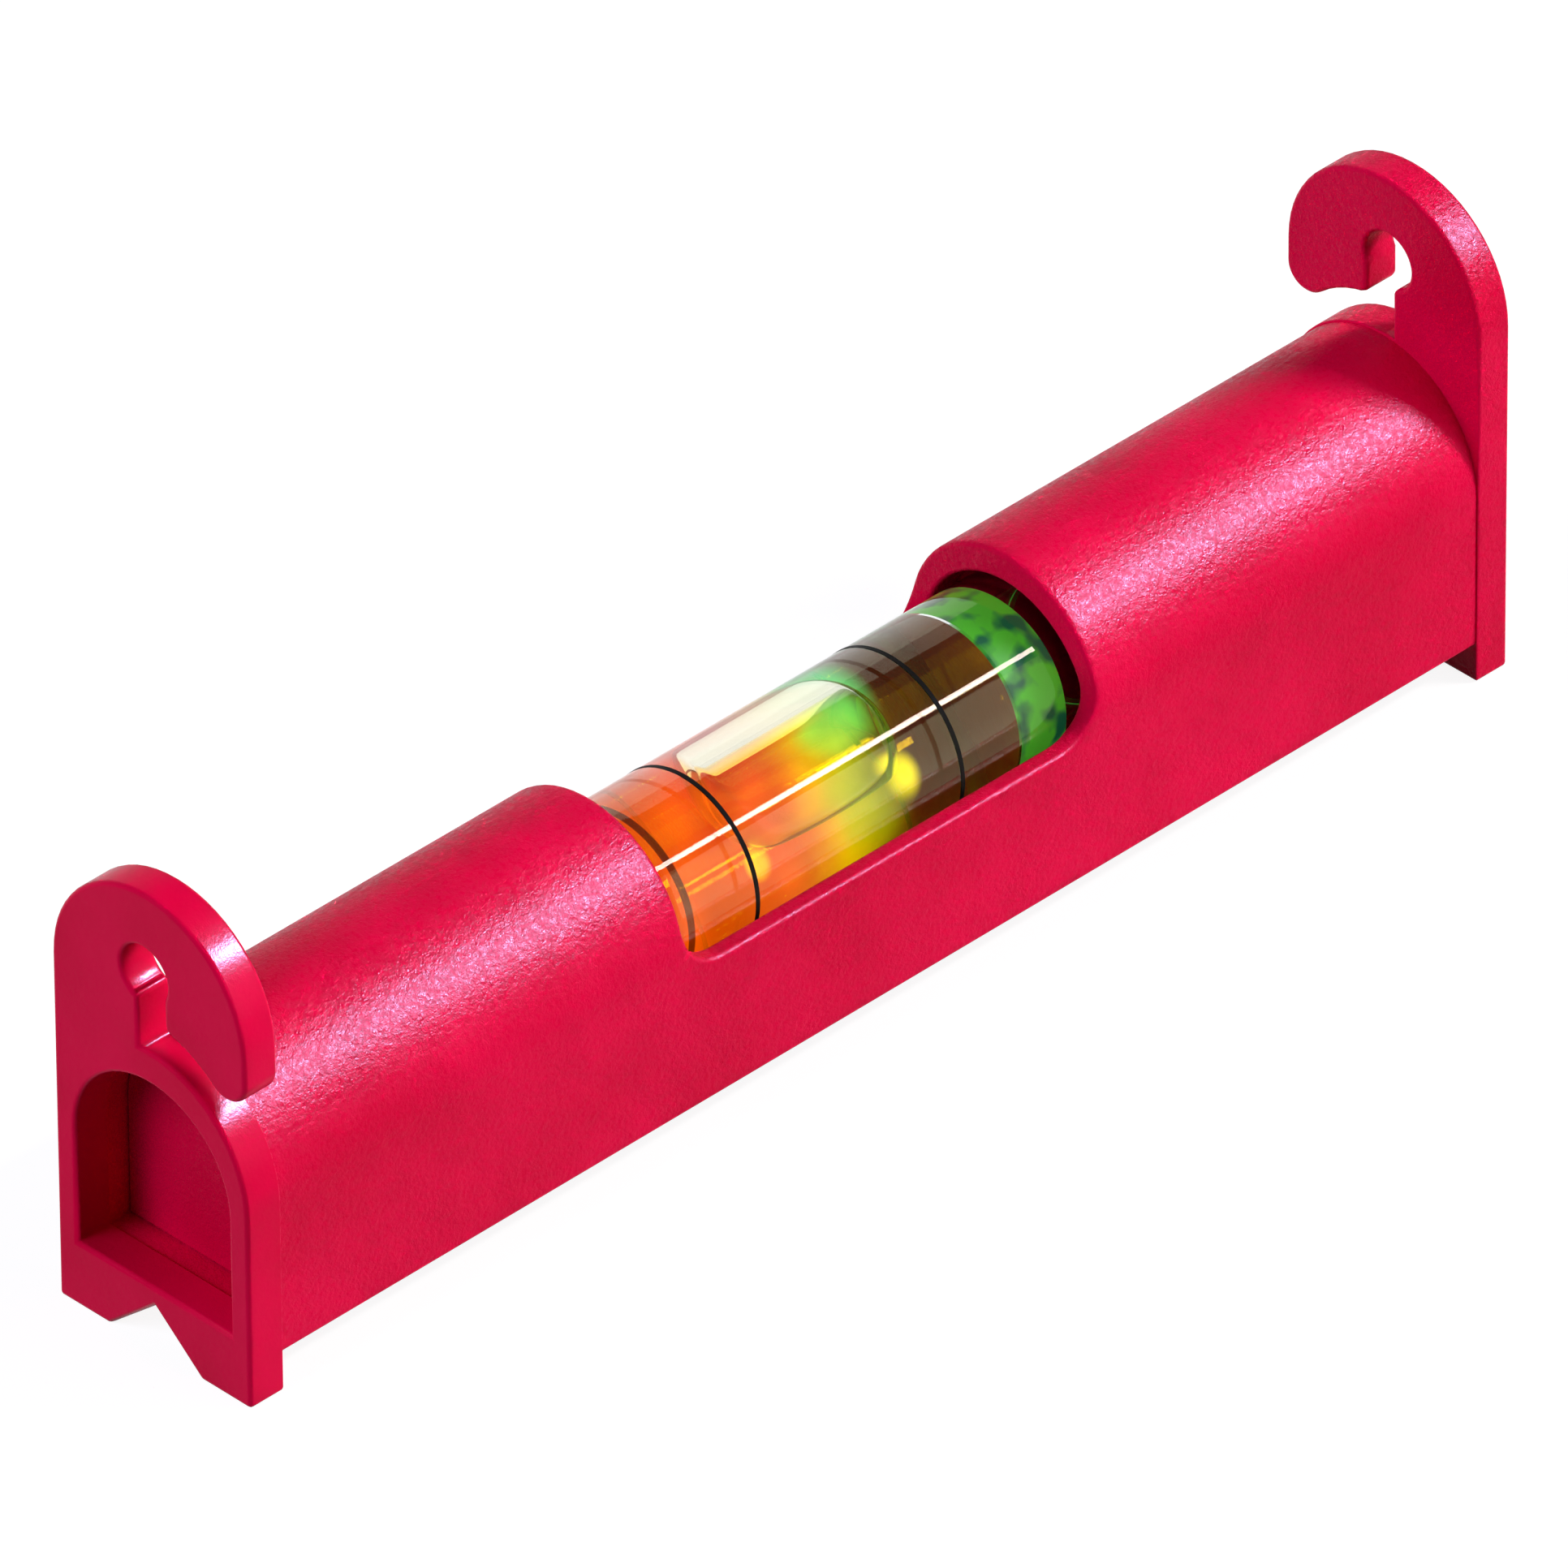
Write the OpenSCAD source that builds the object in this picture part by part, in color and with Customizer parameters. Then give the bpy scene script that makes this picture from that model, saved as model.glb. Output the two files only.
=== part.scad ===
// Line level: a moulded housing with a string hook at each end and a spirit vial in its window.
// Millimetres. X runs along the level, Z is up, and the feet stand on Z = 0.

/* [Body] */
// Overall length, over both end flanges
level_l = 82.5; // [76:0.5:120]
// Overall width, over the end flanges
level_w = 12.7; // [12.5:0.1:15]
// Thickness of each end flange
flange_t = 2.1; // [1.8:0.05:3.5]
// How far a flange stands proud of the body's sides
flange_rim = 0.1; // [0.05:0.05:0.4]
// Height of the body's underside above the feet
belly_z = 2.1; // [1:0.1:2.6]
// Height of the axis of the body's rounded top
arch_z = 10.75; // [10:0.05:13]
// Thickness of the body's sides and rounded top
wall_t = 1.05; // [0.8:0.05:1.2]
// Thickness of the body's floor
floor_t = 1.4; // [1:0.1:2]

/* [Hooks] */
// Height of the curved slot that the string slides into
slot_h = 1.75; // [1.2:0.05:2.4]
// Radius of the round seat that holds the string
seat_r = 1.5; // [1.3:0.05:1.8]
// Height of the seat's axis above the top of the slot
seat_rise = 2.45; // [2.2:0.05:3]
// Distance of the seat from the middle of the level, towards the spine
seat_y = 0.25; // [0:0.05:0.5]
// Depth of the ledge that the seat cuts into the spine beside the throat
ledge = 1.05; // [0.9:0.05:1.15]
// How far the nose stands in from the seat's side
nose_lip = 0.2; // [0.15:0.05:0.5]
// Radius of the nose's rounded corner
nose_r = 0.6; // [0.3:0.05:0.8]
// Thickness of the hook above the seat
crown_t = 3.1; // [2.2:0.1:4]
// Radius of the hook's rounded tip
tip_r = 1.3; // [0.8:0.05:1.6]

/* [Feet] */
// Width of the V notch that sits on a pipe
notch_w = 6.1; // [4:0.1:7]
// Height of the V notch
notch_h = 2.6; // [1.5:0.1:2.7]

/* [Window] */
// Length of the window over the vial
window_l = 27; // [24:0.1:32]
// Distance of the window's middle from the middle of the level, towards the far end
window_x = 0.45; // [0:0.05:0.8]
// Radius of the window's lower corners
window_r = 2.5; // [1:0.1:3.5]
// Distance of the window's sill below the vial's axis
sill_drop = 0.3; // [0:0.05:1.5]
// Distance from the window's far end to the web that holds the vial
web_gap = 1.9; // [1:0.1:4]
// Thickness of each web
web_t = 2.5; // [2:0.1:4]
// Thickness of the stop behind the vial's closed end
stop_t = 1; // [0.6:0.1:1.5]
// Radius of the hole through the stop
stop_r = 3; // [1:0.1:4]

/* [End plugs] */
// Depth of the plug's face inside the end of the level
recess_d = 3.4; // [2.6:0.1:6]
// How far the flange's opening stands in from the body's channel, to hold the plug
lip = 0.15; // [0.05:0.05:0.3]
// Thickness of the plug's face
plate_t = 1.2; // [0.8:0.1:2]
// Length of the plug's skirt
skirt_l = 4; // [2:0.5:8]
// Thickness of the plug's skirt
skirt_t = 0.9; // [0.6:0.1:1.4]

/* [Vial] */
// Outer diameter of the vial
vial_d = 9.6; // [8.8:0.1:9.8]
// Distance of the vial's axis below the axis of the body's rounded top
vial_drop = 0.55; // [0.3:0.05:0.8]
// Diameter of the bore at its middle
bore_d = 6.8; // [6:0.1:7.4]
// How much the bore's radius shrinks from the middle to the ends
bore_crown = 0.08; // [0.04:0.01:0.15]
// Thickness of the vial's closed end
end_wall = 5.95; // [4:0.05:7]
// Length of the coloured plug in the vial's open end
plug_l = 3.2; // [2.4:0.1:3.6]
// Depth of the plug inside the vial's open end
plug_inset = 3.25; // [2:0.05:4]
// Distance between the middles of the two rings
ring_gap = 13.4; // [12:0.1:16]
// Width of each ring
ring_w = 0.25; // [0.15:0.05:0.6]
// Depth of the groove that a ring fills
ring_t = 0.1; // [0.06:0.02:0.2]

/* [Bubble] */
// Length of the air bubble
bubble_l = 11.2; // [9:0.1:12]
// Depth of the air bubble
bubble_t = 2.5; // [2:0.1:3]
// Radius of the bubble's rounded ends, which is half its width
bubble_r = 3.05; // [2.7:0.05:3.15]
// Distance of the resting bubble from the middle of the rings, along X
bubble_x = -0.35; // [-1:0.05:1]

/* [Hidden] */
// Clearance of the vial in its webs, and of an end plug in the channel
seat_fit = 0.05;
plug_fit = 0.05;
// Clearance of the vial's plug, liquid and rings, and how far a ring stands proud
bond_gap = 0.01;
ring_proud = 0.02;
// Clearance round the air bubble
film = 0.05;
// Overlap of a cut past the face that it opens
over = 1;
// Steps in the profile of the vial's bore
bore_steps = 12;
$fn = 96;

body_w = level_w - 2 * flange_rim;
channel_w = body_w - 2 * wall_t;
channel_z = belly_z + floor_t;

// The slot's ceiling is the curve of its floor, raised; the nose and the tip are rounded onto it
slot_r = level_w / 2;
roof_z = arch_z + slot_h;
seat_z = roof_z + slot_r + seat_rise;
spine_y = seat_r - ledge + seat_y;
nose_y = seat_r - nose_lip - seat_y;
nose = on_roof(nose_y + nose_r, nose_r);
tip = on_roof(slot_r - tip_r, tip_r);
hook_z = seat_z + seat_r + crown_t - level_w / 2;

// The vial runs from the stop in one web to the same distance inside the other
web_x = window_x + window_l / 2 + web_gap;
vial_l = 2 * (web_x + web_t - stop_t);
vial_r = vial_d / 2;
vial_z = arch_z - vial_drop;
sill_z = vial_z - sill_drop;
bore_r = bore_d / 2;
bore_end_r = bore_r - bore_crown;
plug_x = vial_l / 2 - plug_inset - plug_l;
chamber_l = plug_x + vial_l / 2 - end_wall;
chamber_x = plug_x - chamber_l / 2;

// The bubble's top follows the narrow ends of the bore, so that it clears the bore all along its travel
bubble_top_r = bore_end_r - film;
bubble_rise = sqrt(pow(bubble_top_r, 2) - pow(bubble_r, 2));

// The centre of a circle of radius r, at a distance y from the middle, that touches the slot's ceiling
function on_roof(y, r) = [y, roof_z + sqrt(pow(slot_r + r, 2) - y * y)];

// Draws a flat outline, given in Y and Z, as a solid from x to x + length
module along_x(x, length) {
    translate([x, 0, 0]) rotate([90, 0, 90]) linear_extrude(length) children();
}

// A cylinder along X at a given height
module rod(x, length, r, z) {
    translate([x, 0, z]) rotate([0, 90, 0]) cylinder(h = length, r = r);
}

// Flat sides and floor under a half round top
module arch_outline(w, floor_z, top_z) {
    translate([0, top_z]) circle(d = w);
    translate([-w / 2, floor_z]) square([w, top_z - floor_z]);
}

// The hollow inside the body, drawn smaller by a gap; its top is round about the vial
module channel_outline(gap) {
    arch_outline(channel_w - 2 * gap, channel_z + gap, vial_z);
}

// The slot that lets the string in under the hook's rounded tip, over the top of the body
module slot_outline() {
    difference() {
        union() {
            intersection() {
                translate([0, roof_z]) circle(r = slot_r);
                translate([-spine_y, arch_z]) square([level_w, level_w]);
            }
            polygon([[0, roof_z], tip, [level_w, tip.y], [level_w, arch_z], [0, arch_z]]);
        }
        translate([0, arch_z]) circle(r = slot_r);
        translate(tip) circle(r = tip_r);
    }
}

// The throat between the spine and the nose, from the slot up into the seat
module throat_outline() {
    difference() {
        polygon([
            [-spine_y, arch_z + slot_r],
            [0, arch_z + slot_r],
            nose,
            [nose_y, nose.y],
            [nose_y, seat_z],
            [-spine_y, seat_z]
        ]);
        translate(nose) circle(r = nose_r);
    }
}

module hook_outline() {
    difference() {
        union() {
            translate([0, hook_z]) circle(d = level_w);
            translate([-level_w / 2, 0]) square([level_w, hook_z]);
        }
        slot_outline();
        throat_outline();
        translate([-seat_y, seat_z]) circle(r = seat_r);
        channel_outline(lip);
        polygon([[-notch_w / 2, 0], [0, notch_h], [notch_w / 2, 0], [notch_w / 2, -over], [-notch_w / 2, -over]]);
    }
}

module end_flange() {
    along_x(level_l / 2 - flange_t, flange_t) hook_outline();
}

module body_shell() {
    length = level_l - 2 * flange_t;
    along_x(-length / 2, length) difference() {
        arch_outline(body_w, belly_z, arch_z);
        channel_outline(0);
    }
}

module web() {
    along_x(web_x, web_t) channel_outline(0);
}

// The window seen from the side, with rounded lower corners
module window_outline() {
    half = window_l / 2;
    translate([window_x, sill_z]) {
        translate([-half, window_r]) square([window_l, level_w]);
        translate([window_r - half, 0]) square([window_l - 2 * window_r, level_w]);
        for (side = [-1, 1]) translate([side * (half - window_r), window_r]) circle(r = window_r);
    }
}

// One moulding: shell, webs, and the flanges that carry the hooks and feet
module housing() {
    color("crimson") difference() {
        union() {
            body_shell();
            for (turn = [0, 180]) rotate([0, 0, turn]) {
                end_flange();
                web();
            }
        }
        rod(-vial_l / 2, vial_l / 2 + web_x + web_t + over, vial_r + seat_fit, vial_z);
        rod(-web_x - web_t - over, web_t + 2 * over, stop_r, vial_z);
        translate([0, level_w, 0]) rotate([90, 0, 0]) linear_extrude(2 * level_w) window_outline();
    }
}

// A snap-in plug for one end of the channel: a flat face with a skirt behind it
module end_plug() {
    back_x = level_l / 2 - recess_d - plate_t - skirt_l;
    difference() {
        along_x(back_x, plate_t + skirt_l) channel_outline(plug_fit);
        along_x(back_x - over, skirt_l + over) channel_outline(plug_fit + skirt_t);
    }
}

module end_plug_near() {
    color("firebrick") rotate([0, 0, 180]) end_plug();
}

module end_plug_far() {
    color("firebrick") end_plug();
}

// The radius of the barrel shaped bore at a share of its length, from -1 to 1
function bore_at(share) = bore_r - bore_crown * share * share;

// The liquid chamber, drawn smaller by a clearance
module chamber(gap) {
    half = chamber_l / 2 - gap;
    profile = [for (i = [-bore_steps : 2 : bore_steps]) [bore_at(i / bore_steps) - gap, half * i / bore_steps]];
    translate([chamber_x, 0, vial_z]) rotate([0, 90, 0]) rotate_extrude()
        polygon(concat([[0, -half]], profile, [[0, half]]));
}

module vial_barrel() {
    color("lightcyan", 0.4) difference() {
        rod(-vial_l / 2, vial_l, vial_r, vial_z);
        chamber(0);
        rod(plug_x - over, plug_l + plug_inset + 2 * over, bore_end_r, vial_z);
        for (side = [-1, 1]) ring_band(side, vial_r - ring_t, vial_r + over, 0);
    }
}

module vial_plug() {
    color("limegreen") rod(plug_x, plug_l, bore_end_r - bond_gap, vial_z);
}

// Air under the top of the bore, flat below and with rounded ends, drawn larger by a clearance
module bubble_shape(gap) {
    half = bubble_l / 2 + gap;
    r = bubble_r + gap;
    translate([chamber_x + bubble_x, 0, vial_z]) intersection() {
        rod(-half, 2 * half, bubble_top_r + gap, 0);
        union() {
            rod(r - half, 2 * (half - r), r, bubble_rise);
            for (side = [-1, 1]) translate([side * (half - r), 0, bubble_rise]) sphere(r = r);
        }
        translate([-bubble_l, -vial_r, bubble_top_r - bubble_t - gap]) cube([2 * bubble_l, vial_d, vial_d]);
    }
}

module vial_liquid() {
    color("yellowgreen", 0.6) difference() {
        chamber(bond_gap);
        bubble_shape(film);
    }
}

module air_bubble() {
    color("honeydew", 0.6) bubble_shape(0);
}

// A round band about the vial, centred on one of the two ring lines
module ring_band(side, inner_r, outer_r, gap) {
    translate([chamber_x + side * ring_gap / 2 - ring_w / 2 + gap, 0, vial_z]) rotate([0, 90, 0]) difference() {
        cylinder(h = ring_w - 2 * gap, r = outer_r);
        translate([0, 0, -over]) cylinder(h = ring_w + 2 * over, r = inner_r);
    }
}

module graduation_ring_left() {
    color("black") ring_band(-1, vial_r - ring_t + bond_gap, vial_r + ring_proud, bond_gap);
}

module graduation_ring_right() {
    color("black") ring_band(1, vial_r - ring_t + bond_gap, vial_r + ring_proud, bond_gap);
}

housing();
end_plug_near();
end_plug_far();
vial_barrel();
vial_plug();
vial_liquid();
air_bubble();
graduation_ring_left();
graduation_ring_right();
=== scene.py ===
import math

import bmesh
import bpy
from mathutils import Matrix, Vector


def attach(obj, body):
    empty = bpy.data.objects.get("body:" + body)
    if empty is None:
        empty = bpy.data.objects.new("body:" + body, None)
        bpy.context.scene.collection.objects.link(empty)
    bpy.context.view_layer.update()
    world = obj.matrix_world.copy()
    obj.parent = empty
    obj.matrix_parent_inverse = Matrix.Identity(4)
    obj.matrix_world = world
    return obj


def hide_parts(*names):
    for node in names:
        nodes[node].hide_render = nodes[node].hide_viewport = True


# Line level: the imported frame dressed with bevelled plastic, a clear vial, its liquid and its bubble.
# Metres, in the same frame as the CAD part: X along the level, Z up, feet on Z = 0.

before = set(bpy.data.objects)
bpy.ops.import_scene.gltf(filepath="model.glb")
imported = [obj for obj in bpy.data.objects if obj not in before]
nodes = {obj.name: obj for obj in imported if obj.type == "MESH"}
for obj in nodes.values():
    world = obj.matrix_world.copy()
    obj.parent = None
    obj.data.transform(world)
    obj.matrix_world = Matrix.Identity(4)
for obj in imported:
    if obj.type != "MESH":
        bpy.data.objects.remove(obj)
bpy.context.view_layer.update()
mm = 0.001
weld = 1e-7

print("camera")
cameraSetup = {
    "aim": (-0.592, -0.081, 11.345),
    "right": (0.70985, -0.70433, -0.00566),
    "up": (0.41573, 0.41247, 0.81058),
    "back": (-0.56858, -0.57775, 0.58560),
    "distance": 1474.45,
    "lens": 729.7,
    "sensor": 36,
    "clip": (0.05, 20),
}


def makeCamera(setup):
    data = bpy.data.cameras.new("studioCamera")
    data.lens = setup["lens"]
    data.sensor_width = setup["sensor"]
    data.sensor_height = setup["sensor"]
    data.sensor_fit = "HORIZONTAL"
    data.clip_start, data.clip_end = setup["clip"]
    camera = bpy.data.objects.new("studioCamera", data)
    turn = Matrix((setup["right"], setup["up"], setup["back"])).transposed().to_4x4()
    place = (Vector(setup["aim"]) + Vector(setup["back"]) * setup["distance"]) * mm
    camera.matrix_world = Matrix.Translation(place) @ turn
    bpy.context.scene.collection.objects.link(camera)
    bpy.context.scene.camera = camera


makeCamera(cameraSetup)

# small helpers shared by the pieces


def newTree(name):
    material = bpy.data.materials.new(name)
    material.use_nodes = True
    material.node_tree.nodes.clear()
    return material, material.node_tree


def addNode(tree, kind, values=None, **settings):
    node = tree.nodes.new(kind)
    for key, value in settings.items():
        setattr(node, key, value)
    for key, value in (values or {}).items():
        node.inputs[key].default_value = value
    return node


def addNoise(tree, coords, scale, detail=2.0, roughness=0.5):
    noise = addNode(tree, "ShaderNodeTexNoise", {"Scale": scale, "Detail": detail, "Roughness": roughness})
    tree.links.new(coords, noise.inputs["Vector"])
    return noise.outputs["Fac"]


def addRange(tree, source, low, high, newLow, newHigh):
    node = addNode(tree, "ShaderNodeMapRange", {
        "From Min": low, "From Max": high, "To Min": newLow, "To Max": newHigh,
    })
    tree.links.new(source, node.inputs["Value"])
    return node.outputs["Result"]


def addColourMix(tree, share, first, second):
    node = addNode(tree, "ShaderNodeMix", data_type="RGBA")
    tree.links.new(share, node.inputs["Factor"])
    colourSockets = [s for s in node.inputs if s.type == "RGBA"]
    for socket, value in zip(colourSockets, (first, second)):
        if isinstance(value, bpy.types.NodeSocket):
            tree.links.new(value, socket)
        else:
            socket.default_value = (*value, 1)
    return [s for s in node.outputs if s.type == "RGBA"][0]


def addBump(tree, height, distance, strength=1.0, normal=None):
    bump = addNode(tree, "ShaderNodeBump", {"Distance": distance})
    if isinstance(strength, bpy.types.NodeSocket):
        tree.links.new(strength, bump.inputs["Strength"])
    else:
        bump.inputs["Strength"].default_value = strength
    tree.links.new(height, bump.inputs["Height"])
    if normal is not None:
        tree.links.new(normal, bump.inputs["Normal"])
    return bump.outputs["Normal"]


def finishTree(tree, surface, volume=None):
    out = addNode(tree, "ShaderNodeOutputMaterial")
    tree.links.new(surface, out.inputs["Surface"])
    if volume is not None:
        tree.links.new(volume, out.inputs["Volume"])


def dress(piece, material):
    piece.data.materials.clear()
    piece.data.materials.append(material)


def newPiece(name, bm, material, body, replaced=()):
    mesh = bpy.data.meshes.new(name)
    bm.to_mesh(mesh)
    bm.free()
    mesh.shade_smooth()
    piece = bpy.data.objects.new(name, mesh)
    bpy.context.scene.collection.objects.link(piece)
    dress(piece, material)
    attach(piece, body)
    if replaced:
        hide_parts(*replaced)
    return piece


def spinProfile(points, steps):
    # points are (x, radius) in mm along the vial, from its axis back to its axis
    bm = bmesh.new()
    verts = [bm.verts.new((x * mm, r * mm, 0)) for x, r in points]
    edges = [bm.edges.new(pair) for pair in zip(verts, verts[1:])]
    bmesh.ops.spin(bm, geom=verts + edges, cent=(0, 0, 0), axis=(1, 0, 0), angle=2 * math.pi,
                   steps=steps, use_merge=True, use_duplicate=False)
    bmesh.ops.remove_doubles(bm, verts=bm.verts, dist=weld)
    bmesh.ops.recalc_face_normals(bm, faces=bm.faces)
    return bm


def liftToVial(bm):
    bmesh.ops.translate(bm, verts=bm.verts, vec=(0, 0, vialSizes["axisZ"] * mm))


def keepSharp(bm, degrees):
    for edge in bm.edges:
        if edge.is_manifold and edge.calc_face_angle() > math.radians(degrees):
            edge.smooth = False


# red moulded plastic, shared by the housing and its end plugs
redFinish = {
    "deepColour": (0.60, 0.0006, 0.035),
    "lightColour": (0.72, 0.0012, 0.050),
    "roughness": (0.22, 0.48),
    "ior": 1.08,
    "specular": 1.0,
    "specularTint": (0.8, 0.6, 1.0, 1),
    "noiseSpan": (0.35, 0.65),
    "cloudScale": 120,
    "speckleScale": 3600,
    "grainScale": 3000,
    "grainDepth": 0.000065,
    "waveScale": 260,
    "waveDepth": 0.000012,
    "polishedX": (-39.05, -39.25),
    "polishedRoughness": 0.24,
    "polishedGrain": 0.25,
}


def makeRedPlastic(name, finish, shade=1.0):
    material, tree = newTree(name)
    coords = addNode(tree, "ShaderNodeTexCoord").outputs["Object"]
    cloud = addNoise(tree, coords, finish["cloudScale"], detail=3)
    grain = addNoise(tree, coords, finish["grainScale"], detail=3, roughness=0.75)
    speckle = addNoise(tree, coords, finish["speckleScale"], detail=2)
    wave = addNoise(tree, coords, finish["waveScale"], detail=1)
    deep = [c * shade for c in finish["deepColour"]]
    light = [c * shade for c in finish["lightColour"]]
    tone = addRange(tree, cloud, *finish["noiseSpan"], 0, 1)
    colour = addColourMix(tree, tone, deep, light)
    rough = addRange(tree, speckle, *finish["noiseSpan"], *finish["roughness"])
    # the near flange is smoother than the rest
    parts = addNode(tree, "ShaderNodeSeparateXYZ")
    tree.links.new(coords, parts.inputs[0])
    start, end = (x * mm for x in finish["polishedX"])
    texture = addRange(tree, parts.outputs["X"], start, end, 1, finish["polishedGrain"])
    polished = addNode(tree, "ShaderNodeMath", operation="MULTIPLY_ADD")
    tree.links.new(rough, polished.inputs[0])
    tree.links.new(addRange(tree, parts.outputs["X"], start, end, 1, 0), polished.inputs[1])
    smooth = addRange(tree, parts.outputs["X"], start, end, 0, finish["polishedRoughness"])
    tree.links.new(smooth, polished.inputs[2])
    normal = addBump(tree, wave, finish["waveDepth"])
    normal = addBump(tree, grain, finish["grainDepth"], strength=texture, normal=normal)
    shader = addNode(tree, "ShaderNodeBsdfPrincipled", {
        "Specular IOR Level": finish["specular"], "Specular Tint": finish["specularTint"],
        "IOR": finish["ior"],
    })
    tree.links.new(colour, shader.inputs["Base Color"])
    tree.links.new(polished.outputs[0], shader.inputs["Roughness"])
    tree.links.new(normal, shader.inputs["Normal"])
    finishTree(tree, shader.outputs["BSDF"])
    return material


redPlastic = makeRedPlastic("redPlastic", redFinish)
# painted shade: the end plugs, which sit in the end recesses, get a copy of the red darkened to 0.9
shadedPlugPlastic = makeRedPlastic("shadedPlugPlastic", redFinish, shade=0.9)

# the housing and its two end plugs: the CAD solids with their moulded edges rounded
edgeSizes = {
    "radius": 0.25,
    "smallRadius": 0.06,
    "segments": 3,
    "sharpAngle": 22,
    "flangeInnerX": 39.15,
    "bodyHalf": 6.25,
    "archZ": 10.75,
    "channelHalf": 5.2,
    "channelFloorZ": 3.5,
    "channelArchZ": 10.2,
    "nearStep": 0.2,
    "archCuts": (-13.7, 14.6),
    "archMerge": 0.15,
    "archReach": 0.1,
    "touch": 0.01,
    "weld": 0.001,
    "flatAngle": 0.5,
    "squeeze": 0.999,
}


def distanceToArch(y, z, half, archZ):
    return abs(math.hypot(y, z - archZ) - half) if z > archZ else abs(abs(y) - half)


def roundingShare(point, sizes):
    # the flanges' inner faces stand only a little proud of the body and of its channel
    x, y, z = (c / mm for c in point)
    if abs(abs(x) - sizes["flangeInnerX"]) > sizes["touch"]:
        return 1.0
    gaps = [
        distanceToArch(y, z, sizes["bodyHalf"], sizes["archZ"]),
        distanceToArch(y, z, sizes["channelHalf"], sizes["channelArchZ"]),
        abs(z - sizes["channelFloorZ"]),
    ]
    return sizes["smallRadius"] / sizes["radius"] if min(gaps) < sizes["nearStep"] else 1.0


def cutLongFaces(bm, sizes):
    # cuts beside the window keep the long faces of the arch apart from the fine ones round its rim
    half, archZ = sizes["bodyHalf"], sizes["archZ"]
    touch, reach = sizes["touch"], sizes["archReach"]
    for cut in sizes["archCuts"]:
        bmesh.ops.bisect_plane(bm, geom=bm.verts[:] + bm.edges[:] + bm.faces[:], dist=sizes["weld"] * mm,
                               plane_co=(cut * mm, 0, 0), plane_no=(1, 0, 0))
        onArch = []
        for vert in bm.verts:
            x, y, z = vert.co / mm
            if abs(x - cut) < touch and z > archZ - touch and distanceToArch(y, z, half, archZ) < reach:
                turn = math.atan2(z - archZ, y)
                vert.co = (cut * mm, half * math.cos(turn) * mm, (archZ + half * math.sin(turn)) * mm)
                onArch.append(vert)
        bmesh.ops.remove_doubles(bm, verts=onArch, dist=sizes["archMerge"] * mm)


def mouldedCopy(nodeName, pieceName, material, sizes):
    bm = bmesh.new()
    bm.from_mesh(nodes[nodeName].data)
    bmesh.ops.remove_doubles(bm, verts=bm.verts, dist=sizes["weld"] * mm)
    flat = math.radians(sizes["flatAngle"])
    bmesh.ops.dissolve_limit(bm, angle_limit=flat, verts=bm.verts, edges=bm.edges)
    if nodeName == "housing":
        cutLongFaces(bm, sizes)
        # a trace narrower, so that the rounded rims stay inside the solid's width
        bmesh.ops.scale(bm, verts=bm.verts, vec=(1, sizes["squeeze"], 1))
    weights = bm.edges.layers.float.new("bevel_weight_edge")
    sharpCorners = []
    sharp = math.radians(sizes["sharpAngle"])
    for edge in bm.edges:
        if not edge.is_manifold or edge.calc_face_angle() < sharp:
            continue
        if edge.is_convex:
            edge[weights] = roundingShare((edge.verts[0].co + edge.verts[1].co) / 2, sizes)
        else:
            sharpCorners.append(edge)
    for face in bm.faces:
        face.smooth = True
    for edge in sharpCorners:
        edge.smooth = False
    piece = newPiece(pieceName, bm, material, "level", [nodeName])
    rounded = piece.modifiers.new("roundedEdges", "BEVEL")
    rounded.width = sizes["radius"] * mm
    rounded.segments = sizes["segments"]
    rounded.profile = 0.5
    rounded.limit_method = "WEIGHT"
    rounded.use_clamp_overlap = False
    evened = piece.modifiers.new("evenShading", "WEIGHTED_NORMAL")
    evened.keep_sharp = True
    return piece


print("housing")
housingShell = mouldedCopy("housing", "housingShell", redPlastic, edgeSizes)
print("end plugs")
plugSizes = dict(edgeSizes, radius=0.15)
endCapNear = mouldedCopy("end_plug_near", "endCapNear", shadedPlugPlastic, plugSizes)
endCapFar = mouldedCopy("end_plug_far", "endCapFar", shadedPlugPlastic, plugSizes)

# the vial: a clear barrel, its liquid, its coloured plug and the rings
vialSizes = {
    "axisZ": 10.2,
    "endX": 17.35,
    "radius": 4.8,
    "chamfer": 0.25,
    "chamberLeft": -11.4,
    "chamberRight": 10.9,
    "plugRight": 14.1,
    "boreMiddle": 3.4,
    "boreEnd": 3.32,
    "boreCorner": 0.6,
    "plugChamfer": 0.15,
    "overlap": 0.02,
    "plugFilm": 0.03,
    "boreSteps": 24,
    "cornerSteps": 6,
    "steps": 192,
    "sharpAngle": 30,
}


def boreRadius(x, sizes):
    middle = (sizes["chamberLeft"] + sizes["chamberRight"]) / 2
    half = (sizes["chamberRight"] - sizes["chamberLeft"]) / 2
    share = (x - middle) / half
    return sizes["boreMiddle"] - (sizes["boreMiddle"] - sizes["boreEnd"]) * share * share


def roundedCorner(x, r, radius, steps):
    # a quarter round from the bore's wall to its closed end
    angles = [math.pi / 2 * i / steps for i in range(steps + 1)]
    return [(x + radius * (1 - math.sin(a)), r - radius * (1 - math.cos(a))) for a in angles]


def borePoints(sizes, grow):
    left, right = sizes["chamberLeft"], sizes["chamberRight"]
    corner = sizes["boreCorner"]
    count = sizes["boreSteps"]
    points = []
    for i in range(count + 1):
        x = right + (left + corner - right) * i / count
        points.append((x, boreRadius(x, sizes) + grow))
    endR = boreRadius(left + corner, sizes) + grow
    points += roundedCorner(left - grow, endR, corner + grow, sizes["cornerSteps"])[1:]
    points.append((left - grow, 0))
    return points


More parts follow.
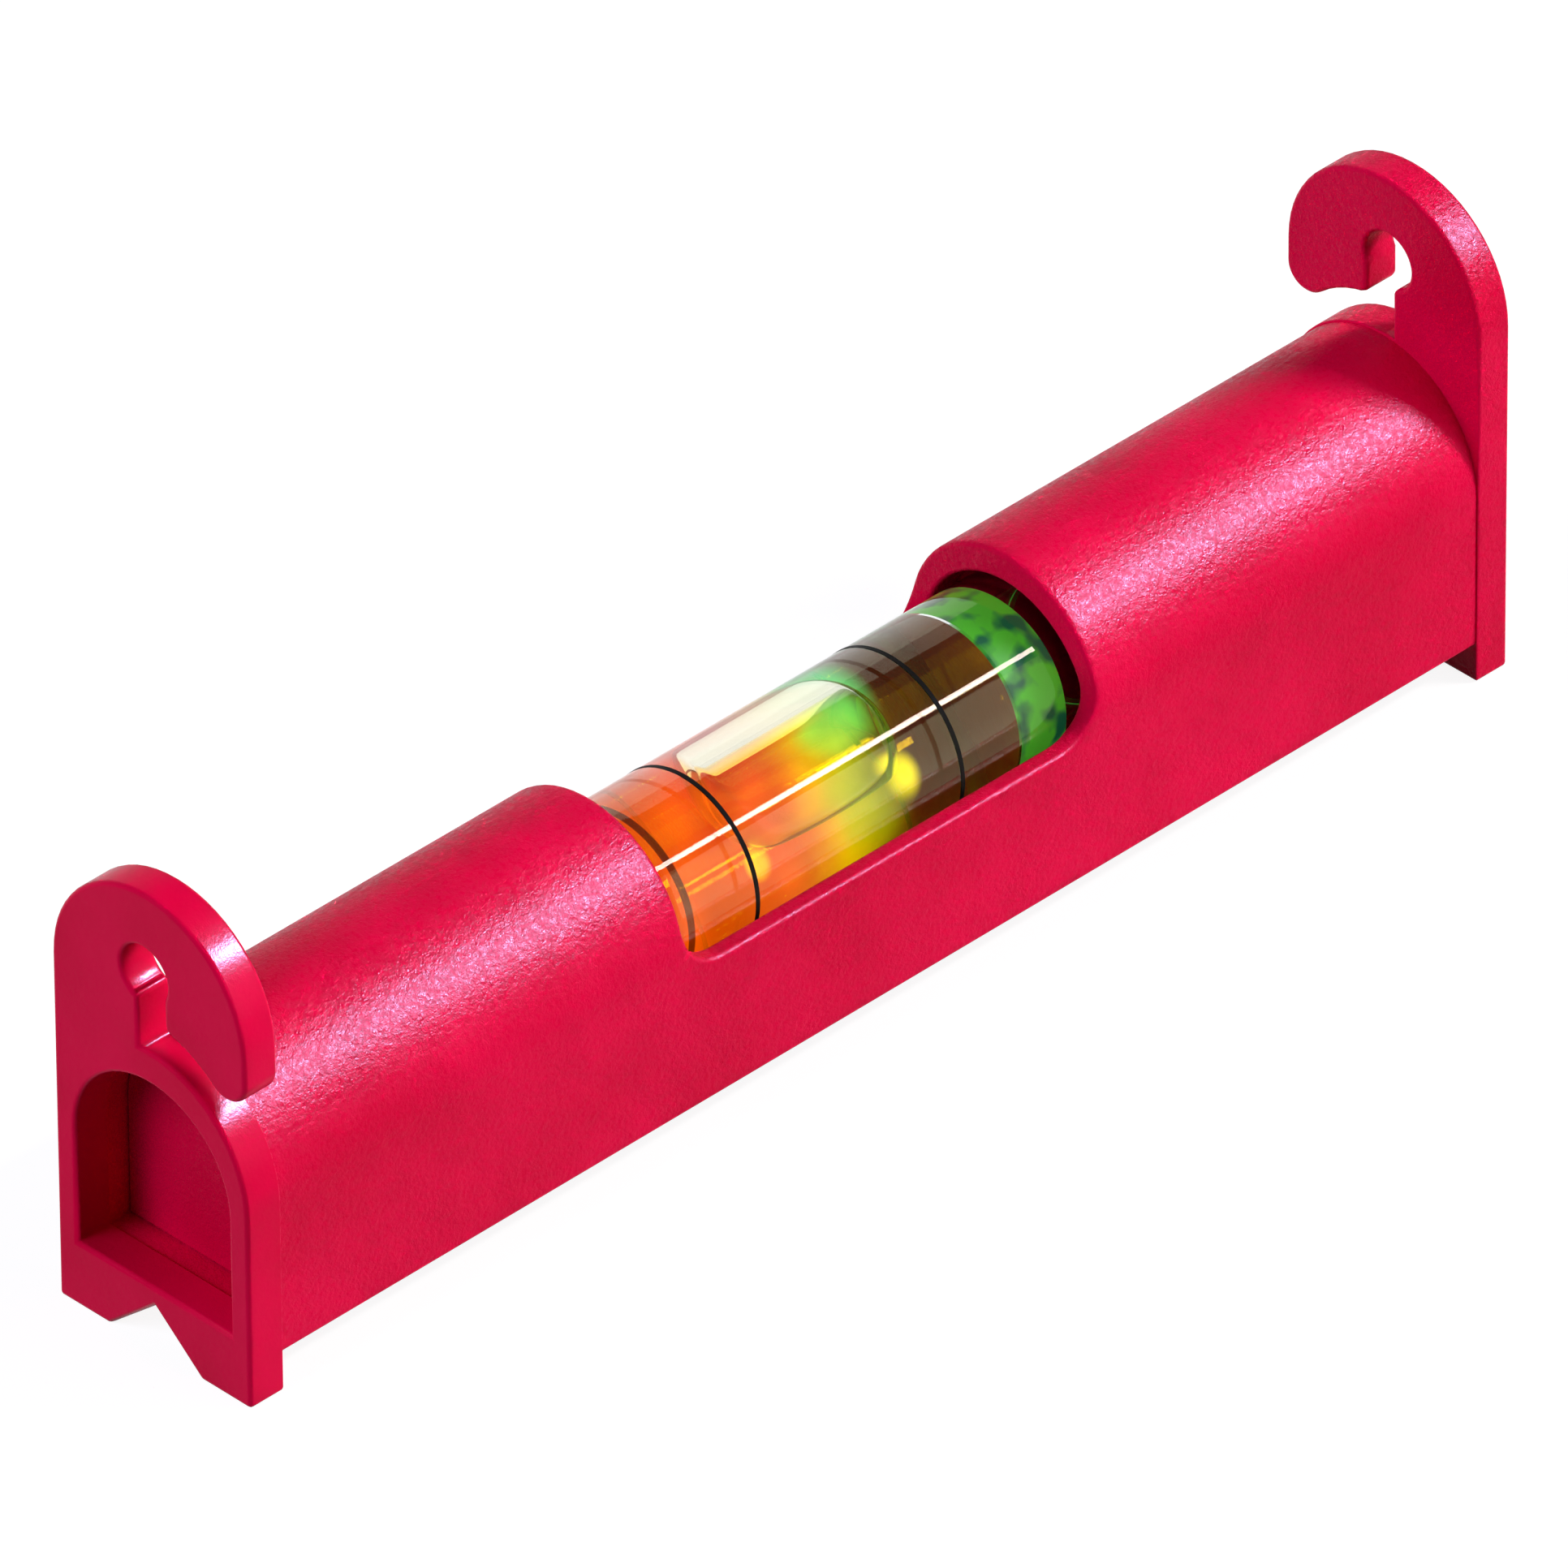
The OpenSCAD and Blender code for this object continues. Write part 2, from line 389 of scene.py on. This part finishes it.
acrylicFinish = {
    "ior": 1.49,
    "roughness": 0.012,
    "specular": 0.0,
    "specularTint": (1.0, 0.86, 0.4, 1),
    "coat": 0.04,
    "coatRoughness": 0.2,
    "coatIor": 1.25,
    "waveScale": 150,
    "waveDepth": 0.0000008,
    "clear": (0.985, 1, 0.985),
    # painted shade: the dark line near the bore's closed end
    "rimShade": (0.04, 0.03, 0.02),
    "rimShadeX": -10.55,
    "rimShadeRadius": 3.33,
    "rimShadeReach": (0.25, 0.19),
}


def addPaintedRimShade(tree, coords, finish):
    # painted shade: a dark line round the bore near its closed end, standing in for the dark edge that
    # refraction shows there
    parts = addNode(tree, "ShaderNodeSeparateXYZ")
    tree.links.new(coords, parts.inputs[0])
    across = addNode(tree, "ShaderNodeCombineXYZ")
    tree.links.new(parts.outputs["Y"], across.inputs["Y"])
    tree.links.new(parts.outputs["Z"], across.inputs["Z"])
    axis = (0, 0, vialSizes["axisZ"] * mm)
    ring = addNode(tree, "ShaderNodeVectorMath", {1: axis}, operation="DISTANCE")
    tree.links.new(across.outputs[0], ring.inputs[0])
    section = addNode(tree, "ShaderNodeCombineXYZ")
    tree.links.new(parts.outputs["X"], section.inputs["X"])
    tree.links.new(ring.outputs["Value"], section.inputs["Y"])
    corner = (finish["rimShadeX"] * mm, finish["rimShadeRadius"] * mm, 0)
    away = addNode(tree, "ShaderNodeVectorMath", {1: corner}, operation="DISTANCE")
    tree.links.new(section.outputs[0], away.inputs[0])
    far, near = (reach * mm for reach in finish["rimShadeReach"])
    share = addRange(tree, away.outputs["Value"], far, near, 0, 1)
    return addColourMix(tree, share, finish["clear"], finish["rimShade"])


def makeAcrylic(finish):
    material, tree = newTree("clearAcrylic")
    coords = addNode(tree, "ShaderNodeTexCoord").outputs["Object"]
    wave = addNoise(tree, coords, finish["waveScale"], detail=1)
    normal = addBump(tree, wave, finish["waveDepth"])
    shader = addNode(tree, "ShaderNodeBsdfPrincipled", {
        "Roughness": finish["roughness"], "IOR": finish["ior"],
        "Transmission Weight": 1, "Specular IOR Level": finish["specular"],
        "Specular Tint": finish["specularTint"], "Coat Weight": finish["coat"],
        "Coat Roughness": finish["coatRoughness"], "Coat IOR": finish["coatIor"],
    })
    # the base colour carries the painted dark line near the bore's closed end
    tree.links.new(addPaintedRimShade(tree, coords, finish), shader.inputs["Base Color"])
    tree.links.new(normal, shader.inputs["Normal"])
    finishTree(tree, shader.outputs["BSDF"])
    return material


liquidFinish = {
    "ior": 1.36,
    "noiseSpan": (0.3, 0.7),
    "cloudScale": 300,
    "roughness": (0.0, 0.012),
    "absorbed": (0.93, 0.86, 0.05, 1),
    "density": 450,
    # painted light: the liquid's glow strengths, colours and spots
    "paintedLightStrengths": (75, 195),
    "streakScale": 420,
    "slope": (1.0, -0.3, 0.0),
    "span": (-14, 8),
    "endFade": (-11.0, -10.5),
    "paintedColours": (
        (-11.0, (1.0, 0.11, 0.001)),
        (-6.0, (1.0, 0.16, 0.001)),
        (-2.0, (1.1, 0.38, 0.001)),
        (1.5, (1.1, 0.75, 0.001)),
        (3.5, (0.35, 0.30, 0.002)),
        (5.5, (0.035, 0.010, 0.004)),
    ),
    # painted light: a painted red view of the housing through the bubble, painted lime and yellow
    # caustics, and a painted green reflection of the plug
    "spots": (
        ((-2.5, 2.0, 9.4), 4.8, (0.90, 0.04, 0.09)),
        ((1.8, -2.6, 10.6), 2.6, (0.70, 0.95, 0.005)),
        ((3.9, 1.8, 11.2), 2.3, (0.10, 1.8, 0.85)),
        ((4.2, -2.0, 10.4), 1.1, (4.5, 3.9, 0.02)),
        ((-5.6, -2.6, 10.7), 0.8, (8.0, 6.5, 0.01)),
    ),
    "paintedSpotCore": 0.6,
}


def addPaintedLight(tree, coords, finish):
    # painted light: glow colours along a slanting line through the liquid, from its closed end to its
    # plug, standing in for the lit and shaded red housing seen through it, with painted spots on top
    low, high = finish["span"]
    dot = addNode(tree, "ShaderNodeVectorMath", {1: finish["slope"]}, operation="DOT_PRODUCT")
    tree.links.new(coords, dot.inputs[0])
    place = addRange(tree, dot.outputs["Value"], low * mm, high * mm, 0, 1)
    ramp = addNode(tree, "ShaderNodeValToRGB")
    tree.links.new(place, ramp.inputs["Fac"])
    stops = ramp.color_ramp.elements
    while len(stops) < len(finish["paintedColours"]):
        stops.new(0.5)
    for stop, (where, colour) in zip(stops, finish["paintedColours"]):
        stop.position = (where - low) / (high - low)
    for stop, (where, colour) in zip(stops, finish["paintedColours"]):
        stop.color = (*colour, 1)
    glow = ramp.outputs["Color"]
    for centre, radius, colour in finish["spots"]:
        away = addNode(tree, "ShaderNodeVectorMath", {1: [c * mm for c in centre]}, operation="DISTANCE")
        tree.links.new(coords, away.inputs[0])
        share = addRange(tree, away.outputs["Value"], radius * mm, radius * finish["paintedSpotCore"] * mm, 0, 1)
        glow = addColourMix(tree, share, glow, colour)
    return glow


def makeLiquid(finish):
    # painted light: the spirit glows, most of all towards the closed end, standing in for the lit red
    # housing, caustics and reflections seen through it
    material, tree = newTree("spiritWithPaintedLight")
    coords = addNode(tree, "ShaderNodeTexCoord").outputs["Object"]
    cloud = addNoise(tree, coords, finish["cloudScale"], detail=1)
    rough = addRange(tree, cloud, *finish["noiseSpan"], *finish["roughness"])
    shader = addNode(tree, "ShaderNodeBsdfPrincipled", {
        "Base Color": (1, 1, 1, 1), "IOR": finish["ior"], "Transmission Weight": 1,
        "Specular IOR Level": 0,
    })
    tree.links.new(rough, shader.inputs["Roughness"])
    absorb = addNode(tree, "ShaderNodeVolumeAbsorption", {
        "Color": finish["absorbed"], "Density": finish["density"],
    })
    streaks = addNoise(tree, coords, finish["streakScale"], detail=1.5)
    strength = addRange(tree, streaks, *finish["noiseSpan"], *finish["paintedLightStrengths"])
    parts = addNode(tree, "ShaderNodeSeparateXYZ")
    tree.links.new(coords, parts.inputs[0])
    start, end = (x * mm for x in finish["endFade"])
    fade = addRange(tree, parts.outputs["X"], start, end, 0, 1)
    faded = addNode(tree, "ShaderNodeMath", operation="MULTIPLY")
    tree.links.new(strength, faded.inputs[0])
    tree.links.new(fade, faded.inputs[1])
    # painted light: an emission in the liquid, which is no lamp
    glow = addNode(tree, "ShaderNodeEmission")
    tree.links.new(addPaintedLight(tree, coords, finish), glow.inputs["Color"])
    tree.links.new(faded.outputs[0], glow.inputs["Strength"])
    both = addNode(tree, "ShaderNodeAddShader")
    tree.links.new(absorb.outputs[0], both.inputs[0])
    tree.links.new(glow.outputs[0], both.inputs[1])
    finishTree(tree, shader.outputs["BSDF"], both.outputs[0])
    return material


airFinish = {"ior": 0.735, "roughness": 0.0}


def makeAir(finish):
    material, tree = newTree("airInSpirit")
    shader = addNode(tree, "ShaderNodeBsdfGlass", {
        "Color": (1, 1, 1, 1), "IOR": finish["ior"], "Roughness": finish["roughness"],
    })
    finishTree(tree, shader.outputs["BSDF"])
    return material


greenFinish = {
    "bright": (0.10, 0.62, 0.035),
    "dark": (0.006, 0.15, 0.06),
    "roughness": (0.3, 0.45),
    "noiseSpan": (0.3, 0.7),
    "spotScale": 850,
    "spotSpan": (0.45, 0.62),
    "spotDepth": 0.00003,
    "ior": 1.5,
    "throughLight": 0.5,
    "throughReach": 0.002,
    "throughSpread": (0.3, 1, 0.2),
    # painted light: the plug glows faintly in its own colour, standing in for light that reaches it
    # through the glass
    "glow": 0.3,
}


def makeGreenPlug(finish):
    material, tree = newTree("greenPlug")
    coords = addNode(tree, "ShaderNodeTexCoord").outputs["Object"]
    spots = addNoise(tree, coords, finish["spotScale"], detail=1.5)
    share = addRange(tree, spots, *finish["spotSpan"], 0, 1)
    colour = addColourMix(tree, share, finish["bright"], finish["dark"])
    rough = addRange(tree, spots, *finish["noiseSpan"], *finish["roughness"])
    normal = addBump(tree, spots, finish["spotDepth"])
    shader = addNode(tree, "ShaderNodeBsdfPrincipled", {
        "IOR": finish["ior"], "Subsurface Weight": finish["throughLight"],
        "Subsurface Scale": finish["throughReach"], "Subsurface Radius": finish["throughSpread"],
        "Emission Strength": finish["glow"],
    })
    tree.links.new(colour, shader.inputs["Base Color"])
    # painted light: the glow takes the plug's own colour
    tree.links.new(colour, shader.inputs["Emission Color"])
    tree.links.new(rough, shader.inputs["Roughness"])
    tree.links.new(normal, shader.inputs["Normal"])
    finishTree(tree, shader.outputs["BSDF"])
    return material


inkFinish = {
    "dark": (0.006, 0.006, 0.006),
    "worn": (0.02, 0.018, 0.016),
    "cloudScale": 1500,
    "noiseSpan": (0.3, 0.7),
    "roughness": (0.35, 0.6),
    "ior": 1.45,
    "specular": 0.05,
}


def makeInk(finish):
    material, tree = newTree("blackInk")
    coords = addNode(tree, "ShaderNodeTexCoord").outputs["Object"]
    cloud = addNoise(tree, coords, finish["cloudScale"], detail=2)
    colour = addColourMix(tree, cloud, finish["dark"], finish["worn"])
    rough = addRange(tree, cloud, *finish["noiseSpan"], *finish["roughness"])
    shader = addNode(tree, "ShaderNodeBsdfPrincipled", {
        "IOR": finish["ior"], "Specular IOR Level": finish["specular"],
    })
    tree.links.new(colour, shader.inputs["Base Color"])
    tree.links.new(rough, shader.inputs["Roughness"])
    finishTree(tree, shader.outputs["BSDF"])
    return material


def makeBarrel(sizes, material):
    end, radius, chamfer = sizes["endX"], sizes["radius"], sizes["chamfer"]
    outside = [
        (-end, 0), (-end, radius - chamfer), (-end + chamfer, radius),
        (end - chamfer, radius), (end, radius - chamfer), (end, sizes["boreEnd"]),
    ]
    bm = spinProfile(outside + borePoints(sizes, 0), sizes["steps"])
    liftToVial(bm)
    keepSharp(bm, sizes["sharpAngle"])
    return newPiece("vialBarrel", bm, material, "level", ["vial_barrel"])


def makeSpirit(sizes, material):
    # the liquid stops just short of the plug, so that its end shines as it does behind a film of air
    grow = sizes["overlap"]
    endRadius = sizes["boreEnd"] + grow
    right = sizes["chamberRight"] - sizes["plugFilm"]
    bm = spinProfile([(right, 0), (right, endRadius)] + borePoints(sizes, grow), sizes["steps"])
    liftToVial(bm)
    keepSharp(bm, sizes["sharpAngle"])
    return newPiece("vialSpirit", bm, material, "level", ["vial_liquid"])


def makePlug(sizes, material):
    radius = sizes["boreEnd"] + sizes["overlap"]
    left, right = sizes["chamberRight"], sizes["plugRight"]
    chamfer = sizes["plugChamfer"]
    points = [
        (left, 0), (left, radius - chamfer), (left + chamfer, radius),
        (right - chamfer, radius), (right, radius - chamfer), (right, 0),
    ]
    bm = spinProfile(points, sizes["steps"])
    liftToVial(bm)
    keepSharp(bm, sizes["sharpAngle"])
    return newPiece("vialPlug", bm, material, "level", ["vial_plug"])


bubbleSizes = {
    "middleX": -0.6,
    "half": 5.58,
    "topRadius": 3.26,
    "endRadius": 3.0,
    "underZ": 0.85,
    "sag": 0.1,
    "bluntness": 0.35,
    "segments": 128,
    "rings": 64,
    "smoothing": 6,
    "smoothingShare": 0.5,
}


def makeBubble(sizes, material):
    # a ball drawn out along the bore, cut flat below, laid against the bore's top, then relaxed
    bm = bmesh.new()
    bmesh.ops.create_uvsphere(bm, u_segments=sizes["segments"], v_segments=sizes["rings"], radius=1)
    bmesh.ops.rotate(bm, verts=bm.verts, cent=(0, 0, 0), matrix=Matrix.Rotation(math.pi / 2, 3, "Y"))
    endRadius, top = sizes["endRadius"], sizes["topRadius"]
    axisZ = math.sqrt(top * top - endRadius * endRadius)
    straight = sizes["half"] - endRadius
    for vert in bm.verts:
        x, y, z = vert.co * endRadius
        x += straight * vert.co.x / max(abs(vert.co.x), sizes["bluntness"])
        z += axisZ
        ring = math.hypot(y, z)
        if ring > top and z > 0:
            y, z = y * top / ring, z * top / ring
        under = sizes["underZ"] - sizes["sag"] * (1 - (y / endRadius) ** 2)
        vert.co = (x, y, max(z, under))
    for step in range(sizes["smoothing"]):
        bmesh.ops.smooth_vert(bm, verts=bm.verts, factor=sizes["smoothingShare"],
                              use_axis_x=True, use_axis_y=True, use_axis_z=True)
    bmesh.ops.scale(bm, verts=bm.verts, vec=(mm, mm, mm))
    bmesh.ops.translate(bm, verts=bm.verts, vec=(sizes["middleX"] * mm, 0, 0))
    bmesh.ops.remove_doubles(bm, verts=bm.verts, dist=weld)
    bmesh.ops.recalc_face_normals(bm, faces=bm.faces)
    liftToVial(bm)
    return newPiece("airBubble", bm, material, "bubble", ["air_bubble"])


print("vial")
vialBarrel = makeBarrel(vialSizes, makeAcrylic(acrylicFinish))
vialSpirit = makeSpirit(vialSizes, makeLiquid(liquidFinish))
vialPlug = makePlug(vialSizes, makeGreenPlug(greenFinish))
print("bubble")
airBubble = makeBubble(bubbleSizes, makeAir(airFinish))
print("rings")
ink = makeInk(inkFinish)
for name in ("graduation_ring_left", "graduation_ring_right"):
    dress(nodes[name], ink)

print("stage and lamps")
stageSetup = {
    "floorRadius": 1400,
    "coveRadius": 500,
    "wallTop": 1300,
    "coveSteps": 12,
    "roundSteps": 96,
    "cloudScale": 3,
    "cloudShade": 0.98,
    "paperColour": (0.22, 0.22, 0.22),
    "paperGlow": 0.9,
    "skyStrength": 0.08,
    "skyColour": (0.9, 0.93, 1.0),
}
lampSetups = {
    "keyLamp": {
        "towards": (0.57, -0.49, 0.66), "distance": 800, "size": (220, 60), "power": 3.2,
        "colour": (1.0, 0.97, 0.97), "forDiffuse": True, "forGloss": False, "forGlass": True,
    },
    "glintLamp": {
        "towards": (0.57, -0.49, 0.66), "distance": 795, "size": (220, 60), "power": 0.9,
        "colour": (1.0, 0.94, 1.7), "forDiffuse": False, "forGloss": True, "forGlass": False,
    },
    "shineLamp": {
        "towards": (0.57, -0.49, 0.66), "distance": 790, "size": (220, 35), "power": 106,
        "colour": (0.84, 0.85, 1.0), "forDiffuse": False, "forGloss": True, "forGlass": False,
        "onlyOn": ("housingShell", "endCapNear", "endCapFar"),
    },
    "backFill": {
        "towards": (-0.82, 0.36, 0.45), "distance": 900, "size": (520, 520), "power": 7.2,
        "colour": (0.78, 0.8, 1.0), "forDiffuse": True, "forGloss": False, "forGlass": False,
    },
    "frontFill": {
        "towards": (0.3, -0.9, 0.2), "distance": 800, "size": (500, 300), "power": 3.0,
        "colour": (1.0, 0.96, 1.0), "forDiffuse": True, "forGloss": False, "forGlass": False,
    },
}


def whiteWhenSeen(tree):
    # 1 for rays that show the background directly, in gloss or through glass
    path = addNode(tree, "ShaderNodeLightPath")
    first = addNode(tree, "ShaderNodeMath", operation="MAXIMUM")
    second = addNode(tree, "ShaderNodeMath", operation="MAXIMUM")
    tree.links.new(path.outputs["Is Camera Ray"], first.inputs[0])
    tree.links.new(path.outputs["Is Glossy Ray"], first.inputs[1])
    tree.links.new(first.outputs[0], second.inputs[0])
    tree.links.new(path.outputs["Is Transmission Ray"], second.inputs[1])
    return second.outputs[0]


def makePaper(setup):
    # a round floor of pale paper that sweeps up into a wall
    radius, cove, top = setup["floorRadius"], setup["coveRadius"], setup["wallTop"]
    steps = setup["coveSteps"]
    profile = [(0, 0), (radius / 2, 0)]
    for i in range(steps + 1):
        angle = math.pi / 2 * i / steps
        profile.append((radius + cove * math.sin(angle), cove * (1 - math.cos(angle))))
    profile.append((radius + cove, top))
    bm = bmesh.new()
    verts = [bm.verts.new((r * mm, 0, z * mm)) for r, z in profile]
    edges = [bm.edges.new(pair) for pair in zip(verts, verts[1:])]
    bmesh.ops.spin(bm, geom=verts + edges, cent=(0, 0, 0), axis=(0, 0, 1), angle=2 * math.pi,
                   steps=setup["roundSteps"], use_merge=True, use_duplicate=False)
    bmesh.ops.remove_doubles(bm, verts=bm.verts, dist=weld)
    mesh = bpy.data.meshes.new("studioPaper")
    bm.to_mesh(mesh)
    bm.free()
    mesh.shade_smooth()
    sweep = bpy.data.objects.new("studioPaper", mesh)
    bpy.context.scene.collection.objects.link(sweep)
    material, tree = newTree("palePaper")
    coords = addNode(tree, "ShaderNodeTexCoord").outputs["Object"]
    cloud = addNoise(tree, coords, setup["cloudScale"], detail=2)
    darker = [c * setup["cloudShade"] for c in setup["paperColour"]]
    tone = addColourMix(tree, cloud, setup["paperColour"], darker)
    paper = addNode(tree, "ShaderNodeBsdfDiffuse")
    tree.links.new(tone, paper.inputs["Color"])
    glow = addNode(tree, "ShaderNodeEmission", {"Color": (1, 1, 1, 1)})
    seen = addNode(tree, "ShaderNodeMath", {1: setup["paperGlow"]}, operation="MULTIPLY")
    tree.links.new(whiteWhenSeen(tree), seen.inputs[0])
    tree.links.new(seen.outputs[0], glow.inputs["Strength"])
    both = addNode(tree, "ShaderNodeAddShader")
    tree.links.new(paper.outputs[0], both.inputs[0])
    tree.links.new(glow.outputs[0], both.inputs[1])
    finishTree(tree, both.outputs[0])
    dress(sweep, material)


def makeSky(setup):
    world = bpy.data.worlds.new("studioSky")
    bpy.context.scene.world = world
    world.use_nodes = True
    tree = world.node_tree
    tree.nodes.clear()
    soft = addNode(tree, "ShaderNodeBackground", {
        "Color": (*setup["skyColour"], 1), "Strength": setup["skyStrength"],
    })
    out = addNode(tree, "ShaderNodeOutputWorld")
    tree.links.new(soft.outputs[0], out.inputs["Surface"])


def makeLamp(name, setup):
    data = bpy.data.lights.new(name, "AREA")
    data.shape = "RECTANGLE"
    data.size = setup["size"][0] * mm
    data.size_y = setup["size"][1] * mm
    data.energy = setup["power"]
    data.color = setup["colour"]
    lamp = bpy.data.objects.new(name, data)
    away = Vector(setup["towards"]).normalized()
    side = (Vector((1, 0, 0)) - away * away.x).normalized()
    turn = Matrix((side, away.cross(side), away)).transposed().to_4x4()
    lamp.matrix_world = Matrix.Translation(away * setup["distance"] * mm) @ turn
    lamp.visible_camera = False
    lamp.visible_diffuse = setup["forDiffuse"]
    lamp.visible_glossy = setup["forGloss"]
    lamp.visible_transmission = setup["forGlass"]
    if "onlyOn" in setup:
        lit = bpy.data.collections.new(name + "Lights")
        for pieceName in setup["onlyOn"]:
            lit.objects.link(bpy.data.objects[pieceName])
        lamp.light_linking.receiver_collection = lit
    bpy.context.scene.collection.objects.link(lamp)


makePaper(stageSetup)
makeSky(stageSetup)
for name, setup in lampSetups.items():
    makeLamp(name, setup)

bpy.context.scene.view_settings.view_transform = "Standard"

print("done")
